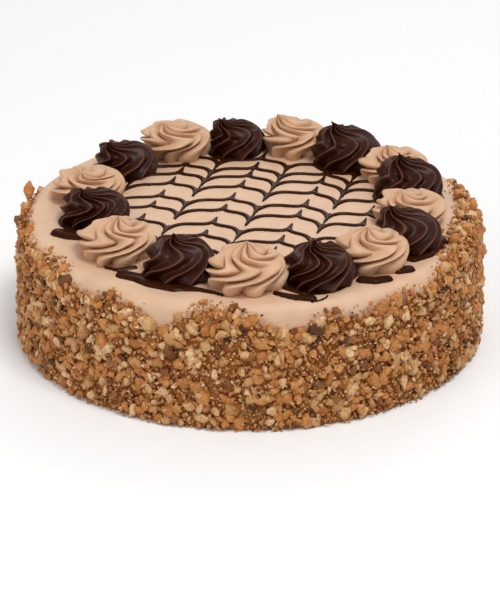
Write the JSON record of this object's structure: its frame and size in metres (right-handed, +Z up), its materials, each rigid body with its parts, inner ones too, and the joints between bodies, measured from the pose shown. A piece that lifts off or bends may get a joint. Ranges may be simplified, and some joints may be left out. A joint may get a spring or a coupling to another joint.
{
  "type": "coffee cake",
  "caption": "round iced coffee cake, chopped nuts round the side, feathered chocolate lines on top, ring of piped coffee and chocolate rosettes",
  "frame": {"origin": "centre of the flat base", "axes": "+Z up, out of the cake's top; -Y towards the side shown at the front; +X to the right of it"},
  "size_m": [0.2438, 0.2438, 0.0861],
  "materials": {
    "icing": "smooth coffee buttercream, spread with a palette knife",
    "coffee_cream": "soft piped coffee buttercream",
    "chocolate_cream": "dark piped chocolate cream with a satin sheen",
    "chocolate_lines": "thin glossy piped chocolate",
    "nuts": "toasted chopped nuts, uneven and dry"
  },
  "bodies": {
    "root": {"cake": "icing", "chocolate_rosette_1": "chocolate_cream", "chocolate_rosette_2": "chocolate_cream", "chocolate_rosette_3": "chocolate_cream", "chocolate_rosette_4": "chocolate_cream", "chocolate_rosette_5": "chocolate_cream", "chocolate_rosette_6": "chocolate_cream", "chocolate_rosette_7": "chocolate_cream", "chocolate_rosette_8": "chocolate_cream", "coffee_rosette_1": "coffee_cream", "coffee_rosette_2": "coffee_cream", "coffee_rosette_3": "coffee_cream", "coffee_rosette_4": "coffee_cream", "coffee_rosette_5": "coffee_cream", "coffee_rosette_6": "coffee_cream", "coffee_rosette_7": "coffee_cream", "coffee_rosette_8": "coffee_cream"}
  },
  "joints": []
}
